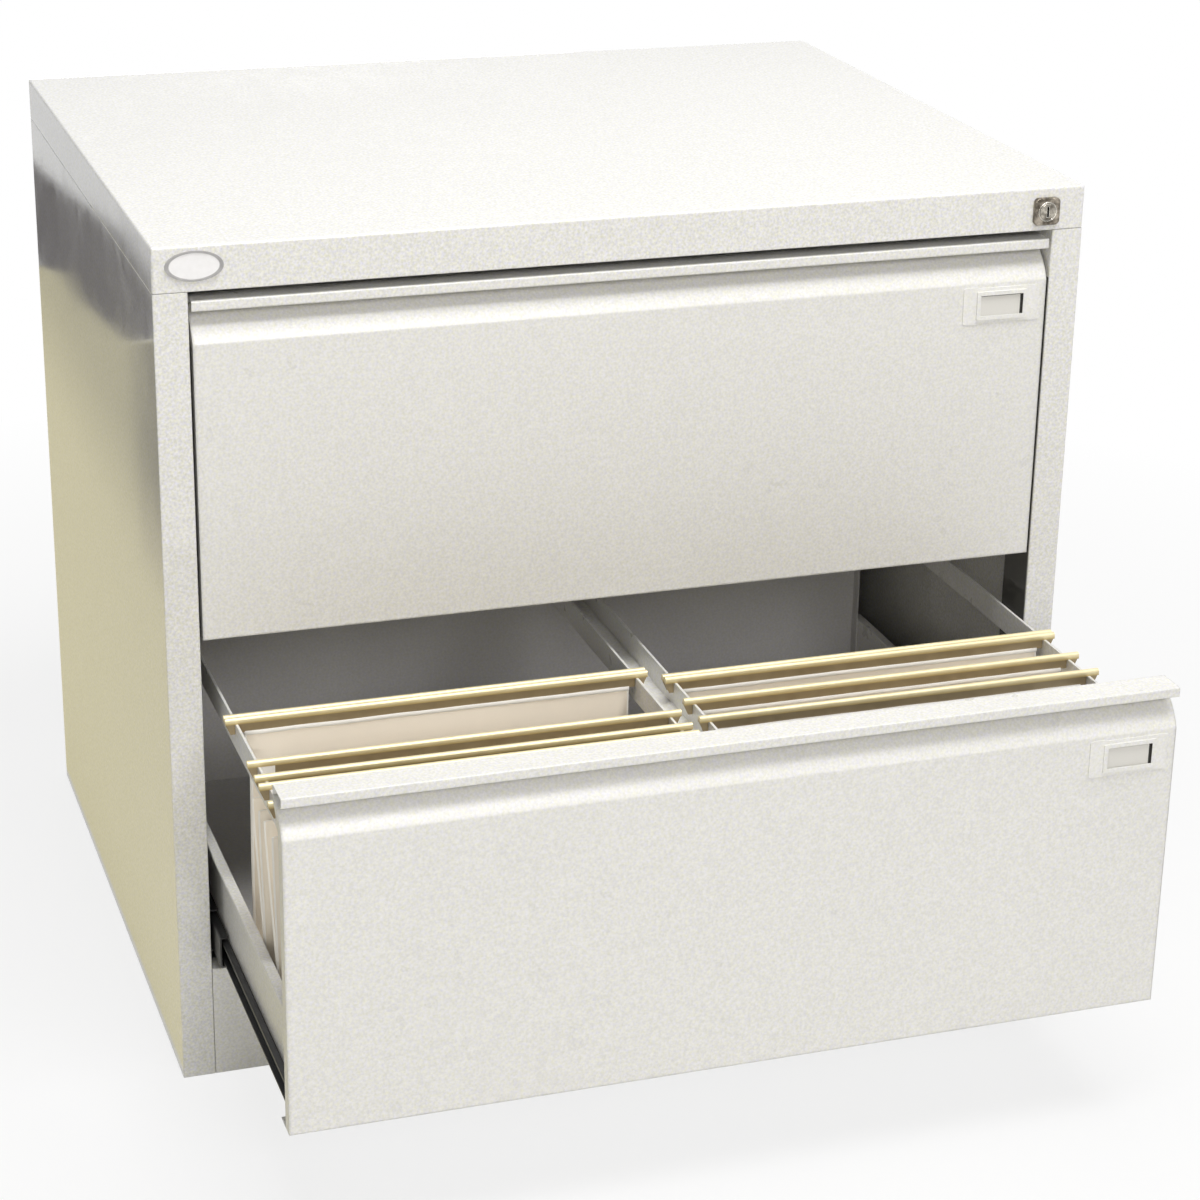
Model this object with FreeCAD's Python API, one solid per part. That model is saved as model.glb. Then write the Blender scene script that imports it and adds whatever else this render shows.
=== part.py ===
import FreeCAD, Part
import math
import os

# A steel filing cabinet of double width, with two drawers that each carry two rows of hanging files.
# Lengths are in millimetres. X runs to the right, Y from the front to the back, Z up.
# The origin is the centre of the carcass's underside. The lower drawer is drawn part open.

# Rails for the hanging files, which set the width of everything else
rail_spacing = 330.0
centre_gap = 27.0
rail_sheet = 2.0
rail_height = 22.0
rail_below_lip = 38.6
rail_to_side = 5.5

# Drawers
lower_drawer_open = 275.3
kick_gap = 4.4
front_gap = 12.4
front_top_gap = 8.0
front_side_gap = 2.5
front_flange = 12.0
shoulder_start = 242.1
shoulder_rise = 26.4
shoulder_depth = 25.0
shoulder_crease = 20.0
lip_above_shoulder = 7.7
lip_face = 8.0
lip_hem = 4.0
lip_rear_drop = 14.0
low_side_bottom = 3.0
low_side_top = 100.0
low_side_front = 13.0
low_side_flange = 8.5
low_side_curl = 3.0
floor_ledge = 12.0
back_flange = 12.0
catch_width = 14.0
catch_reach = 9.0
catch_bottom = 130.0
catch_height = 20.0
catch_sheet = 1.5

# Telescopic runners with balls
runner_space = 11.0
runner_length = 580.0
runner_front = 16.0
runner_end_gap = 18.8
runner_bottom = 4.0
runner_height = 38.0
runner_sheet = 1.4
runner_tip_gap = 1.6
member_gap = 1.2
middle_setback = 97.0
middle_end_gap = 3.0
ball_diameter = 3.2
ball_clearance = 0.3
ball_count = 10
cage_bar = 1.2
cage_length = 190.0
cage_end_gap = 20.0

# Carcass of folded sheet steel
panel_sheet = 1.0
space_behind_drawer = 7.2
lid_skirt_height = 35.8
lid_edge_radius = 2.0
lid_seam_gap = 0.4
fascia_return = 12.0
stile_width = 27.0
stile_return = 45.0
rear_flange = 15.0
tongue_height = 40.0
tongue_below_seam = 15.0
tongue_from_corner = 14.0
kick_height = 98.0
kick_flange = 20.0
kick_end_gap = 0.2
base_flange = 20.0
upright_depth = 34.0
upright_sheet = 1.5
upright_from_back = 30.0
upright_below_tongue = 3.0

# Screws of one kind, which hold the runners and the back panel
screw_diameter = 4.0
screw_length = 8.0
screw_head_diameter = 8.0
screw_head_height = 0.8
screw_hole_gap = 0.1
runner_screw_front = 30.0
runner_screw_from_back = 47.0
back_screw_from_end = 60.0
back_screw_count = 3

# Label holder and its card
holder_width = 67.5
holder_height = 30.0
holder_from_edge = 7.0
holder_below_lip = 52.5
holder_sheet = 0.8
holder_corner = 3.0
holder_edge_round = 1.0
holder_left_ear = 11.8
holder_ear_extra = 1.6
frame_width = 45.2
frame_height = 24.0
frame_proud = 2.2
frame_border = 3.35
card_gap = 0.3
card_thickness = 0.4

# Blank badge plate
badge_width = 45.0
badge_height = 23.5
badge_thickness = 1.0
badge_rim = 1.5
badge_rim_proud = 0.6
badge_from_edge = 32.5
badge_above_seam = 20.0

# Lock
lock_from_edge = 34.7
lock_above_seam = 16.3
escutcheon_width = 22.8
escutcheon_height = 22.8
escutcheon_thickness = 4.0
escutcheon_corner = 4.0
escutcheon_edge = 1.2
barrel_diameter = 18.0
barrel_length = 17.0
barrel_hole_gap = 0.2
plug_diameter = 12.0
plug_fit_gap = 0.05
plug_head_diameter = 14.0
plug_head_depth = 2.0
plug_proud = 0.8
key_slot_width = 1.8
key_slot_height = 8.5
key_slot_depth = 11.0
nut_wall = 3.0
nut_thickness = 5.0
cam_gap = 0.3
cam_thickness = 2.0
cam_hub_diameter = 15.0
cam_radius = 8.5
cam_rest_angle = 45.0
cam_rim = 1.2
cam_pin_diameter = 4.0
cam_pin_length = 7.0
lock_bar_to_catch = 1.0
lock_bar_sheet = 3.0
lock_bar_width = 10.0
lock_bar_from_stile = 3.0
lock_tab_reach = 10.0
lock_tab_height = 8.0
lock_tab_above_catch = 2.0
lock_slot_gap = 0.4
tab_slot_gap = 1.0
lock_head_margin = 3.0
lock_tail = 14.0
guide_above_tab = 70.0
guide_height = 16.0
guide_wall = 3.0
guide_gap = 0.3

# Hanging files: carrier bars with hooked ends, and card pockets
bar_overhang = 9.0
bar_height = 13.0
bar_web = 1.6
bar_bead = 5.0
bar_bead_height = 5.0
bar_bead_round = 2.0
bar_rise = 5.0
hook_drop = 14.0
hook_taper = 4.0
hook_gap = 0.3
pocket_clearance = 6.0
pocket_sheet = 0.8
pocket_base = 5.0
pocket_knee = 90.0
pocket_floor_gap = 5.0
file_bars = {
    "back_left_file": (-1, 229.6, 223.6),
    "middle_left_file": (-1, 141.5, 115.3),
    "front_left_file": (-1, 100.0, 68.3),
    "back_right_file": (1, 211.3, 205.3),
    "front_right_file": (1, 160.3, 124.3),
}

# How far a cutting shape runs past the face it cuts, and how exact a hollowed shape is
cut_margin = 1.0
hollow_tolerance = 1e-4

# Widths, depths and heights that follow from the sizes above
drawer_x = centre_gap / 2 + rail_spacing + rail_to_side
opening_x = drawer_x + runner_space
side_x = opening_x + stile_width
front_x = opening_x - front_side_gap
drawer_length = runner_front + runner_length + runner_end_gap
carcass_depth = drawer_length + space_behind_drawer
front_y = -carcass_depth / 2
back_y = carcass_depth / 2
front_height = shoulder_start + shoulder_rise + lip_above_shoulder
rail_top = front_height - rail_below_lip
lower_front_bottom = kick_height + kick_gap
upper_front_bottom = lower_front_bottom + front_height + front_gap
seam_z = upper_front_bottom + front_height + front_top_gap
carcass_height = seam_z + lid_skirt_height
panel_top = seam_z - lid_seam_gap
tongue_bottom = panel_top - tongue_below_seam
lip_top_depth = shoulder_depth + 2 * panel_sheet
liner_back = shoulder_depth + panel_sheet
back_front = drawer_length - panel_sheet
lock_x = side_x - lock_from_edge
lock_z = seam_z + lock_above_seam
cam_shift = cam_radius * math.cos(math.radians(cam_rest_angle))
lock_bar_drop = 2 * cam_radius * math.sin(math.radians(cam_rest_angle))
lock_bar_x = opening_x + lock_bar_from_stile
lock_bar_front = liner_back - lock_bar_to_catch - lock_bar_sheet
ball_gap = ball_diameter + 2 * ball_clearance
runner_tip_x = drawer_x + runner_tip_gap
middle_x = opening_x - runner_sheet - member_gap
ball_x = (runner_tip_x + middle_x - runner_sheet) / 2

pieces = {}


def box(x, y, z):
    """A block between three pairs of low and high values."""
    size = (x[1] - x[0], y[1] - y[0], z[1] - z[0])
    return Part.makeBox(*size, FreeCAD.Vector(x[0], y[0], z[0]))


def rod(radius, start, direction, length):
    return Part.makeCylinder(radius, length, FreeCAD.Vector(*start), FreeCAD.Vector(*direction))


def polygon(points):
    corners = [FreeCAD.Vector(a, b, 0) for a, b in points]
    return Part.Face(Part.makePolygon(corners + corners[:1]))


def folded(points, sheet):
    """Sheet bent along points on its inner side, with the metal on their right and rounded outer corners."""
    line = Part.makePolygon([FreeCAD.Vector(a, b, 0) for a, b in points])
    return line.makeOffset2D(sheet, 0, True, True)


def along_x(profile, low, high):
    """Extrudes a flat profile of Y and Z values from low to high along X."""
    solid = profile.extrude(FreeCAD.Vector(0, 0, high - low))
    turn = FreeCAD.Rotation(FreeCAD.Vector(1, 1, 1), 120)
    solid.Placement = FreeCAD.Placement(FreeCAD.Vector(low, 0, 0), turn)
    return solid


def along_y(profile, low, high):
    """Extrudes a flat profile of X and Z values from low to high along Y."""
    solid = profile.extrude(FreeCAD.Vector(0, 0, high - low))
    turn = FreeCAD.Rotation(FreeCAD.Vector(1, 0, 0), 90)
    solid.Placement = FreeCAD.Placement(FreeCAD.Vector(0, high, 0), turn)
    return solid


def along_z(profile, low, high):
    """Extrudes a flat profile of X and Y values from low to high along Z."""
    solid = profile.extrude(FreeCAD.Vector(0, 0, high - low))
    solid.Placement = FreeCAD.Placement(FreeCAD.Vector(0, 0, low), FreeCAD.Rotation())
    return solid


def on_side(shape, side):
    """The shape as drawn for the right side, or its mirror image for the left side."""
    return shape if side > 0 else shape.mirror(FreeCAD.Vector(0, 0, 0), FreeCAD.Vector(1, 0, 0))


def edges_near(shape, test):
    return [edge for edge in shape.Edges if test(edge)]


def fuse(shapes):
    return shapes[0].multiFuse(shapes[1:]).removeSplitter()


def screw(place, outward):
    """A low-headed screw whose head lies on the surface at place and whose shank goes the other way."""
    head = rod(screw_head_diameter / 2, place, outward, screw_head_height)
    inward = [-part for part in outward]
    return fuse([head, rod(screw_diameter / 2, place, inward, screw_length)])


def screw_hole(place, outward):
    start = [p - d * screw_length for p, d in zip(place, outward)]
    radius = screw_diameter / 2 + screw_hole_gap
    return rod(radius, start, outward, 2 * screw_length)


def runner_levels(drawer):
    return drawer["bottom"] + runner_bottom, drawer["bottom"] + runner_bottom + runner_height


def runner_screws(side):
    """Places of the screws that hold the cabinet runners of one side to the stile and the upright."""
    x = side * (opening_x - runner_sheet)
    middles = [sum(runner_levels(drawer)) / 2 for drawer in drawers]
    depths = (front_y + runner_screw_front, back_y - runner_screw_from_back)
    return [(x, y, z) for z in middles for y in depths]


def back_screws():
    x = side_x - rear_flange / 2
    step = (panel_top - 2 * back_screw_from_end) / (back_screw_count - 1)
    heights = [back_screw_from_end + step * number for number in range(back_screw_count)]
    return [(side * x, back_y, z) for side in (-1, 1) for z in heights]


drawers = (
    {"name": "upper", "bottom": upper_front_bottom, "open": 0.0},
    {"name": "lower", "bottom": lower_front_bottom, "open": lower_drawer_open},
)


def lid():
    """Shallow cap whose front skirt is the fascia, with the fascia's lower edge turned in."""
    cap = box((-side_x, side_x), (front_y, back_y), (seam_z, carcass_height))
    rim = edges_near(cap, lambda edge: edge.BoundBox.ZMax > carcass_height - panel_sheet)
    cap = cap.makeFillet(lid_edge_radius, rim)
    floor = [face for face in cap.Faces if face.BoundBox.ZMax < seam_z + panel_sheet]
    shell = cap.makeThickness(floor, -panel_sheet, hollow_tolerance)
    inner_x = side_x - panel_sheet
    fascia_back = front_y + panel_sheet
    turned = box((-inner_x, inner_x), (fascia_back, front_y + fascia_return), (seam_z, seam_z + panel_sheet))
    hole = lock_rod(barrel_diameter + 2 * barrel_hole_gap, -cut_margin, panel_sheet + cut_margin)
    return fuse([shell, turned]).cut(hole)


def side_panel(side):
    """Wall, stile and rear flange folded from one sheet, with a tongue that stands up inside the lid."""
    wall = side_x - panel_sheet
    plan = [
        (opening_x + panel_sheet, front_y + stile_return),
        (opening_x + panel_sheet, front_y + panel_sheet),
        (wall, front_y + panel_sheet),
        (wall, back_y - 2 * panel_sheet),
        (side_x - rear_flange, back_y - 2 * panel_sheet),
    ]
    sheet = along_z(folded(plan, panel_sheet), 0, panel_top)
    ends = (front_y + tongue_from_corner, back_y - tongue_from_corner)
    tongue = box((wall - panel_sheet, wall), ends, (tongue_bottom, tongue_bottom + tongue_height))
    panel = fuse([sheet, tongue])
    panel = panel.cut(box((0, wall), (front_y + panel_sheet, back_y - panel_sheet), (0, panel_sheet)))
    if side > 0:
        for drawer in drawers:
            low = drawer["bottom"] + catch_bottom + catch_height + lock_tab_above_catch
            slot_z = (low - lock_bar_drop - tab_slot_gap, low + lock_tab_height + tab_slot_gap)
            slot_front = front_y + lock_bar_front
            slot_y = (slot_front - tab_slot_gap, slot_front + lock_bar_sheet + tab_slot_gap)
            panel = panel.cut(box((opening_x, opening_x + panel_sheet), slot_y, slot_z))
    panel = on_side(panel, side)
    for place in runner_screws(side):
        panel = panel.cut(screw_hole(place, (-side, 0, 0)))
    for place in back_screws():
        panel = panel.cut(screw_hole(place, (0, 1, 0)))
    return panel


def back_panel():
    half = side_x - panel_sheet
    panel = box((-half, half), (back_y - panel_sheet, back_y), (0, panel_top))
    for place in back_screws():
        panel = panel.cut(screw_hole(place, (0, 1, 0)))
    return panel


def base_pan():
    """Tray on the floor, turned up along its sides and behind the kick panel."""
    half = side_x - 2 * panel_sheet
    section = [(-half, base_flange), (-half, panel_sheet), (half, panel_sheet), (half, base_flange)]
    tray = along_y(folded(section, panel_sheet), front_y + panel_sheet, back_y - 2 * panel_sheet)
    reach = opening_x - panel_sheet
    front = box((-reach, reach), (front_y + panel_sheet, front_y + 2 * panel_sheet), (0, base_flange))
    return fuse([tray, front])


def kick_panel():
    section = [
        (front_y + kick_flange, kick_height - panel_sheet),
        (front_y + panel_sheet, kick_height - panel_sheet),
        (front_y + panel_sheet, 0),
    ]
    half = opening_x - kick_end_gap
    return along_x(folded(section, panel_sheet), -half, half)


def rear_upright(side):
    """Channel that carries the rear ends of the cabinet runners, with its flanges on the side panel."""
    rear = back_y - upright_from_back
    front = rear - upright_depth
    wall = side_x - panel_sheet
    web = opening_x + upright_sheet
    plan = [
        (wall, rear - upright_sheet),
        (web, rear - upright_sheet),
        (web, front + upright_sheet),
        (wall, front + upright_sheet),
    ]
    channel = along_z(folded(plan, upright_sheet), base_flange, tongue_bottom - upright_below_tongue)
    channel = on_side(channel, side)
    for place in runner_screws(side):
        channel = channel.cut(screw_hole(place, (-side, 0, 0)))
    return channel


def runner_channel(web_x, tip_x, levels, y):
    """A runner's channel, from its web's outer side to its flange tips."""
    low, high = levels
    inward = math.copysign(runner_sheet, tip_x - web_x)
    web = web_x + inward
    section = [(tip_x, low + runner_sheet), (web, low + runner_sheet)]
    section += [(web, high - runner_sheet), (tip_x, high - runner_sheet)]
    if inward > 0:
        section.reverse()
    return along_y(folded(section, runner_sheet), *y)


def cabinet_runner(drawer, side):
    y = (front_y + runner_front, front_y + runner_front + runner_length)
    member = runner_channel(opening_x, runner_tip_x, runner_levels(drawer), y)
    member = on_side(member, side)
    for place in runner_screws(side):
        member = member.cut(screw_hole(place, (-side, 0, 0)))
    return member


def middle_levels(drawer):
    low, high = runner_levels(drawer)
    return low + runner_sheet + ball_gap, high - runner_sheet - ball_gap


def middle_ends(drawer):
    front = front_y + runner_front - drawer["open"] / 2
    return front + middle_setback, front + runner_length - middle_end_gap


def middle_runners(drawer):
    """The shorter middle members of both runners, which travel half as far as the drawer."""
    member = runner_channel(middle_x, runner_tip_x, middle_levels(drawer), middle_ends(drawer))
    return Part.makeCompound([on_side(member, side) for side in (-1, 1)])


def ball_row(z, y):
    """Balls on one cage bar, drawn along Y."""
    half = cage_bar / 2
    solids = [box((ball_x - half, ball_x + half), y, (z - half, z + half))]
    spacing = (y[1] - y[0]) / ball_count
    for number in range(ball_count):
        centre = FreeCAD.Vector(ball_x, y[0] + spacing * (number + 0.5), z)
        solids.append(Part.makeSphere(ball_diameter / 2, centre))
    return fuse(solids)


def ball_rows(drawer):
    """Rows of balls between the three members of both runners. They travel with the middle members."""
    front, rear = middle_ends(drawer)
    outer_y = (rear - cage_end_gap - cage_length, rear - cage_end_gap)
    inner_y = (front + cage_end_gap, front + cage_end_gap + cage_length)
    low, high = runner_levels(drawer)
    middle_low, middle_high = middle_levels(drawer)
    step = runner_sheet + ball_gap / 2
    rows = [ball_row(low + step, outer_y), ball_row(high - step, outer_y)]
    rows += [ball_row(middle_low + step, inner_y), ball_row(middle_high - step, inner_y)]
    return Part.makeCompound([on_side(row, side) for side in (-1, 1) for row in rows])


def drawer_runners(drawer):
    """The inner members of both runners, which are fixed to the drawer's low sides."""
    low, high = middle_levels(drawer)
    levels = (low + runner_sheet + ball_gap, high - runner_sheet - ball_gap)
    front = front_y + runner_front - drawer["open"]
    tip = middle_x - runner_sheet - member_gap
    member = runner_channel(drawer_x, tip, levels, (front, front + runner_length))
    return Part.makeCompound([on_side(member, side) for side in (-1, 1)])


def shoulder_circle():
    """Centre and radius of the bent-back shoulder, as depth behind the front and height above its bottom."""
    chord = math.hypot(shoulder_depth, shoulder_rise)
    crease = math.radians(shoulder_crease)
    half_angle = math.atan2(shoulder_depth, shoulder_rise) - crease
    radius = chord / (2 * math.sin(half_angle))
    return radius * math.cos(crease), shoulder_start - radius * math.sin(crease), radius


def arc(start, end, radius, centre):
    """Arc edge over the top of a circle, between two depths."""
    points = []
    for depth in (start, (start + end) / 2, end):
        height = centre[1] + math.sqrt(radius**2 - (centre[0] - depth) ** 2)
        points.append(FreeCAD.Vector(depth, height, 0))
    return Part.Arc(*points).toShape()


def closed_face(edges):
    return Part.Face(Part.Wire(Part.__sortEdges__(edges)))


def run(points):
    """Straight edges through points."""
    corners = [FreeCAD.Vector(a, b, 0) for a, b in points]
    return [Part.makeLine(a, b) for a, b in zip(corners, corners[1:])]


def end_of(edge, highest):
    points = sorted((vertex.Point for vertex in edge.Vertexes), key=lambda point: point.x)
    point = points[-1] if highest else points[0]
    return point.x, point.y


def place_front(solid, drawer):
    """Moves a piece drawn from the front plane and the front's bottom edge to its drawer."""
    solid.translate(FreeCAD.Vector(0, front_y - drawer["open"], drawer["bottom"]))
    return solid


def front_skin(drawer):
    """Outer sheet of the drawer front: flat, then bent back below the lip, with narrow side flanges."""
    depth, height, radius = shoulder_circle()
    outer = arc(0, shoulder_depth, radius, (depth, height))
    inner = arc(panel_sheet, shoulder_depth, radius - panel_sheet, (depth, height))
    line = run([end_of(outer, False), (0, 0), (liner_back, 0), (liner_back, panel_sheet)])
    line += run([(liner_back, panel_sheet), (panel_sheet, panel_sheet), end_of(inner, False)])
    line += run([end_of(inner, True), end_of(outer, True)])
    sheet = along_x(closed_face([outer, inner] + line), -front_x, front_x)
    rear = arc(front_flange, shoulder_depth, radius, (depth + front_flange, height))
    edge = run([end_of(outer, False), (0, 0), (front_flange, 0), end_of(rear, False)])
    edge += run([end_of(rear, True), end_of(outer, True)])
    cheek = closed_face([outer, rear] + edge)
    left = along_x(cheek, -front_x, -front_x + panel_sheet)
    right = along_x(cheek, front_x - panel_sheet, front_x)
    return place_front(fuse([sheet, left, right]), drawer)


def grip_lip(drawer):
    """Full-width lip that hooks over the liner and turns down in front as the pull."""
    under = front_height - panel_sheet
    section = [
        (lip_hem, front_height - lip_face + panel_sheet),
        (panel_sheet, front_height - lip_face + panel_sheet),
        (panel_sheet, under),
        (lip_top_depth - panel_sheet, under),
        (lip_top_depth - panel_sheet, front_height - lip_rear_drop),
    ]
    section.reverse()
    return place_front(along_x(folded(section, panel_sheet), -front_x, front_x), drawer)


def front_liner(drawer):
    """Inner sheet of the drawer front, with a forward flange at each side."""
    half = drawer_x - panel_sheet
    plate = box((-half, half), (shoulder_depth, liner_back), (panel_sheet, front_height - panel_sheet))
    cheeks = []
    for side in (-1, 1):
        x = sorted((side * (half - panel_sheet), side * half))
        cheeks.append(box(x, (panel_sheet, shoulder_depth), (panel_sheet, shoulder_start - panel_sheet)))
    return place_front(fuse([plate] + cheeks), drawer)


def lock_catch(drawer):
    """Small plate welded behind the liner, which reaches out to the lock bar's tab."""
    outer = drawer_x - panel_sheet + catch_reach
    depths = (liner_back, liner_back + catch_sheet)
    catch = box((outer - catch_width, outer), depths, (catch_bottom, catch_bottom + catch_height))
    return place_front(catch, drawer)


def low_side(drawer, side):
    """Low drawer side with a ledge for the floor and a wide rolled top edge."""
    wall = drawer_x - panel_sheet
    under = low_side_top - panel_sheet
    curl_x = wall + low_side_flange - panel_sheet
    section = [
        (curl_x, low_side_top - low_side_curl),
        (curl_x, under),
        (drawer_x, under),
        (drawer_x, low_side_bottom),
        (wall - floor_ledge, low_side_bottom),
    ]
    solid = along_y(folded(section, panel_sheet), low_side_front, drawer_length)
    notch_z = (low_side_bottom, low_side_bottom + panel_sheet)
    solid = solid.cut(box((wall - floor_ledge, wall), (low_side_front, liner_back), notch_z))
    return on_side(place_front(solid, drawer), side)


def drawer_floor(drawer):
    half = drawer_x - 2 * panel_sheet
    level = low_side_bottom + panel_sheet
    return place_front(box((-half, half), (liner_back, back_front), (level, level + panel_sheet)), drawer)


def drawer_back(drawer):
    """Tall back that carries the rear ends of the rails, flanged forward inside the low sides."""
    half = drawer_x - 2 * panel_sheet
    plan = [
        (-half, back_front - back_flange),
        (-half, back_front),
        (half, back_front),
        (half, back_front - back_flange),
    ]
    plan.reverse()
    bottom = low_side_bottom + 2 * panel_sheet
    return place_front(along_z(folded(plan, panel_sheet), bottom, rail_top), drawer)


def rail_strip(x, drawer):
    sides = (x - rail_sheet / 2, x + rail_sheet / 2)
    strip = box(sides, (liner_back, back_front), (rail_top - rail_height, rail_top))
    return place_front(strip, drawer)


def side_rails(drawer):
    x = centre_gap / 2 + rail_spacing
    return Part.makeCompound([rail_strip(-x, drawer), rail_strip(x, drawer)])


def centre_channel(drawer):
    """Channel between the two rows of files, whose two upright edges are their inner rails."""
    half = centre_gap / 2 - rail_sheet / 2
    low = rail_top - rail_height
    section = [(-half, rail_top), (-half, low + rail_sheet), (half, low + rail_sheet), (half, rail_top)]
    return place_front(along_y(folded(section, rail_sheet), liner_back, back_front), drawer)


def rounded_plate(width, height, thickness, corner, centre, proud):
    """Plate against a front plane with rounded corners, standing proud to the front."""
    x = (centre[0] - width / 2, centre[0] + width / 2)
    z = (centre[1] - height / 2, centre[1] + height / 2)
    plate = box(x, (-proud, -proud + thickness), z)
    corners = edges_near(plate, lambda edge: edge.BoundBox.YLength > thickness / 2)
    return plate.makeFillet(corner, corners)


def holder_places():
    """Left and right ends of the label holder, the middle of its window, and its height."""
    right = front_x - holder_from_edge
    left = right - holder_width
    return left, right, left + holder_left_ear + frame_width / 2, front_height - holder_below_lip


def label_holder(drawer):
    """Pressed label frame with a flat ear at each end and a raised window."""
    left, right, middle, level = holder_places()
    ear_width = holder_left_ear + holder_corner
    ear_height = holder_height + holder_ear_extra
    ear_centre = (left + ear_width / 2, level)
    ear = rounded_plate(ear_width, ear_height, holder_sheet, holder_corner, ear_centre, holder_sheet)
    centre = ((left + right) / 2, level)
    flat = rounded_plate(holder_width, holder_height, holder_sheet, holder_edge_round, centre, holder_sheet)
    centre = (middle, level)
    frame = rounded_plate(frame_width, frame_height, frame_proud, holder_edge_round, centre, frame_proud)
    hollow_x = (middle - frame_width / 2 + holder_sheet, middle + frame_width / 2 - holder_sheet)
    hollow_z = (level - frame_height / 2 + holder_sheet, level + frame_height / 2 - holder_sheet)
    hollow = box(hollow_x, (holder_sheet - frame_proud, 0), hollow_z)
    half_width = frame_width / 2 - frame_border
    half_height = frame_height / 2 - frame_border
    window_x = (middle - half_width, middle + half_width)
    window_z = (level - half_height, level + half_height)
    window = box(window_x, (-frame_proud, 0), window_z)
    return place_front(fuse([flat, ear, frame]).cut(hollow).cut(window), drawer)


def label_card(drawer):
    middle, level = holder_places()[2:]
    half_width = frame_width / 2 - holder_sheet - card_gap
    half_height = frame_height / 2 - holder_sheet - card_gap
    x = (middle - half_width, middle + half_width)
    z = (level - half_height, level + half_height)
    return place_front(box(x, (-card_thickness, 0), z), drawer)


def oval(width, height, y, centre):
    curve = Part.Ellipse(FreeCAD.Vector(centre[0], centre[1], 0), width / 2, height / 2)
    return along_y(Part.Face(Part.Wire(curve.toShape())), *y)


def badge_plate():
    """Blank oval plate with a raised rim, stuck on the fascia."""
    centre = (-side_x + badge_from_edge, seam_z + badge_above_seam)
    front = front_y - badge_thickness
    plate = oval(badge_width, badge_height, (front, front_y), centre)
    rim = oval(badge_width, badge_height, (front - badge_rim_proud, front), centre)
    field_width = badge_width - 2 * badge_rim
    field_height = badge_height - 2 * badge_rim
    field = oval(field_width, field_height, (front - badge_rim_proud, front), centre)
    return fuse([plate, rim.cut(field)])


def lock_rod(diameter, start, end):
    """Cylinder on the lock's axis between two depths behind the fascia's face."""
    return rod(diameter / 2, (lock_x, front_y + start, lock_z), (0, 1, 0), end - start)


def lock_housing():
    """Square escutcheon with a round threaded barrel behind it, bored for the plug."""
    plate = rounded_plate(
        escutcheon_width, escutcheon_height, escutcheon_thickness, escutcheon_corner,
        (lock_x, lock_z), escutcheon_thickness,
    )
    face = edges_near(plate, lambda edge: edge.BoundBox.YMax < -escutcheon_thickness / 2)
    plate = plate.makeFillet(escutcheon_edge, face)
    plate.translate(FreeCAD.Vector(0, front_y, 0))
    body = fuse([plate, lock_rod(barrel_diameter, 0, barrel_length)])
    body = body.cut(lock_rod(plug_diameter + 2 * plug_fit_gap, -escutcheon_thickness, barrel_length))
    seat = plug_head_depth - escutcheon_thickness
    return body.cut(lock_rod(plug_head_diameter + 2 * plug_fit_gap, -escutcheon_thickness, seat))


def lock_nut():
    radius = (barrel_diameter + 2 * nut_wall) / math.sqrt(3)
    angles = [math.radians(60 * number) for number in range(6)]
    flats = polygon([(lock_x + radius * math.cos(a), lock_z + radius * math.sin(a)) for a in angles])
    back = panel_sheet + nut_thickness
    nut = along_y(flats, front_y + panel_sheet, front_y + back)
    return nut.cut(lock_rod(barrel_diameter + 2 * plug_fit_gap, 0, back))


def lock_plug():
    """Turning plug with a head in the escutcheon and an upright key slot."""
    front = -escutcheon_thickness - plug_proud
    seat = plug_head_depth - escutcheon_thickness
    head = lock_rod(plug_head_diameter, front, seat)
    shaft = lock_rod(plug_diameter, seat, barrel_length + cam_gap)
    plug = fuse([head, shaft])
    rim = edges_near(plug, lambda edge: edge.BoundBox.YMax < front_y + front + plug_proud / 2)
    plug = plug.makeFillet(plug_proud / 2, rim)
    slot_x = (lock_x - key_slot_width / 2, lock_x + key_slot_width / 2)
    slot_z = (lock_z - key_slot_height / 2, lock_z + key_slot_height / 2)
    slot = box(slot_x, (front_y + front, front_y + front + key_slot_depth), slot_z)
    return plug.cut(slot)


def lock_cam():
    """Cam on the plug's rear end, with a pin that stands in the lock bar's slot."""
    start = barrel_length + cam_gap
    hub = lock_rod(cam_hub_diameter, start, start + cam_thickness)
    pin_place = (lock_x + cam_shift, front_y + start, lock_z + cam_shift)
    tip = rod(cam_pin_diameter / 2 + cam_rim, pin_place, (0, 1, 0), cam_thickness)
    pin = rod(cam_pin_diameter / 2, pin_place, (0, 1, 0), cam_thickness + cam_pin_length)
    return fuse([hub, tip, pin])


def lock_bar():
    """Flat stamped bar behind the right stile, with a tab for each drawer and a slotted head for the cam."""
    inner = lock_bar_x
    outer = lock_bar_x + lock_bar_width
    y = (front_y + lock_bar_front, front_y + lock_bar_front + lock_bar_sheet)
    pin_x = lock_x + cam_shift
    pin_z = lock_z + cam_shift
    slot_half = cam_pin_diameter / 2 + lock_slot_gap
    slot_x = (pin_x - slot_half, lock_x + cam_radius + slot_half)
    slot_z = (pin_z - slot_half, pin_z + slot_half)
    head_z = (slot_z[0] - lock_head_margin, slot_z[1] + lock_head_margin)
    tabs = []
    for drawer in drawers:
        low = drawer["bottom"] + catch_bottom + catch_height + lock_tab_above_catch
        tabs.append(box((inner - lock_tab_reach, inner), y, (low, low + lock_tab_height)))
    bottom = lower_front_bottom + catch_bottom + catch_height + lock_tab_above_catch - lock_tail
    strip = box((inner, outer), y, (bottom, head_z[1]))
    head = box((slot_x[0] - lock_head_margin, outer), y, head_z)
    return fuse([strip, head] + tabs).cut(box(slot_x, y, slot_z))


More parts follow.
